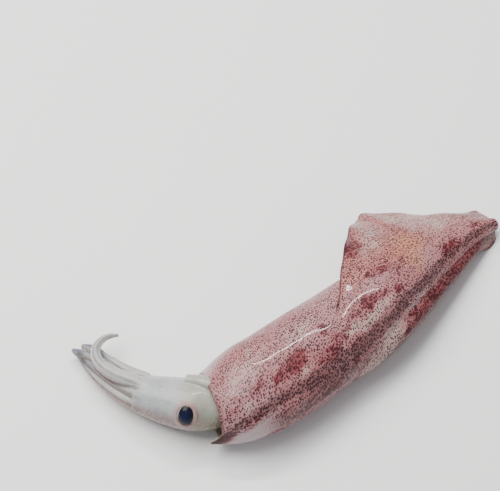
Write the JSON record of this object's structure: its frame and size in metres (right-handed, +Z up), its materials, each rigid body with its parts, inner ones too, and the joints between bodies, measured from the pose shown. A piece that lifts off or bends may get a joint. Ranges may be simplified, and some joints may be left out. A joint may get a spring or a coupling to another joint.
{
  "type": "whole raw squid",
  "caption": "Whole raw squid lying down: tubular body with two fins at the tail, bent head with eyes, funnel, arms and tentacles.",
  "frame": {"origin": "centre of the footprint's bounding box, on the surface it rests on", "axes": "+X along the body tube towards the tail, +Y to the side that the head bends to, +Z up"},
  "size_m": [0.214, 0.1086, 0.0347],
  "materials": {
    "wet_skin": "wet, thin, slightly translucent skin with fine dark purple dots",
    "eye": "glossy dark lens in a pale ring"
  },
  "bodies": {
    "root": {"squid": "wet_skin", "eye_right": "eye", "eye_left": "eye"}
  },
  "joints": []
}
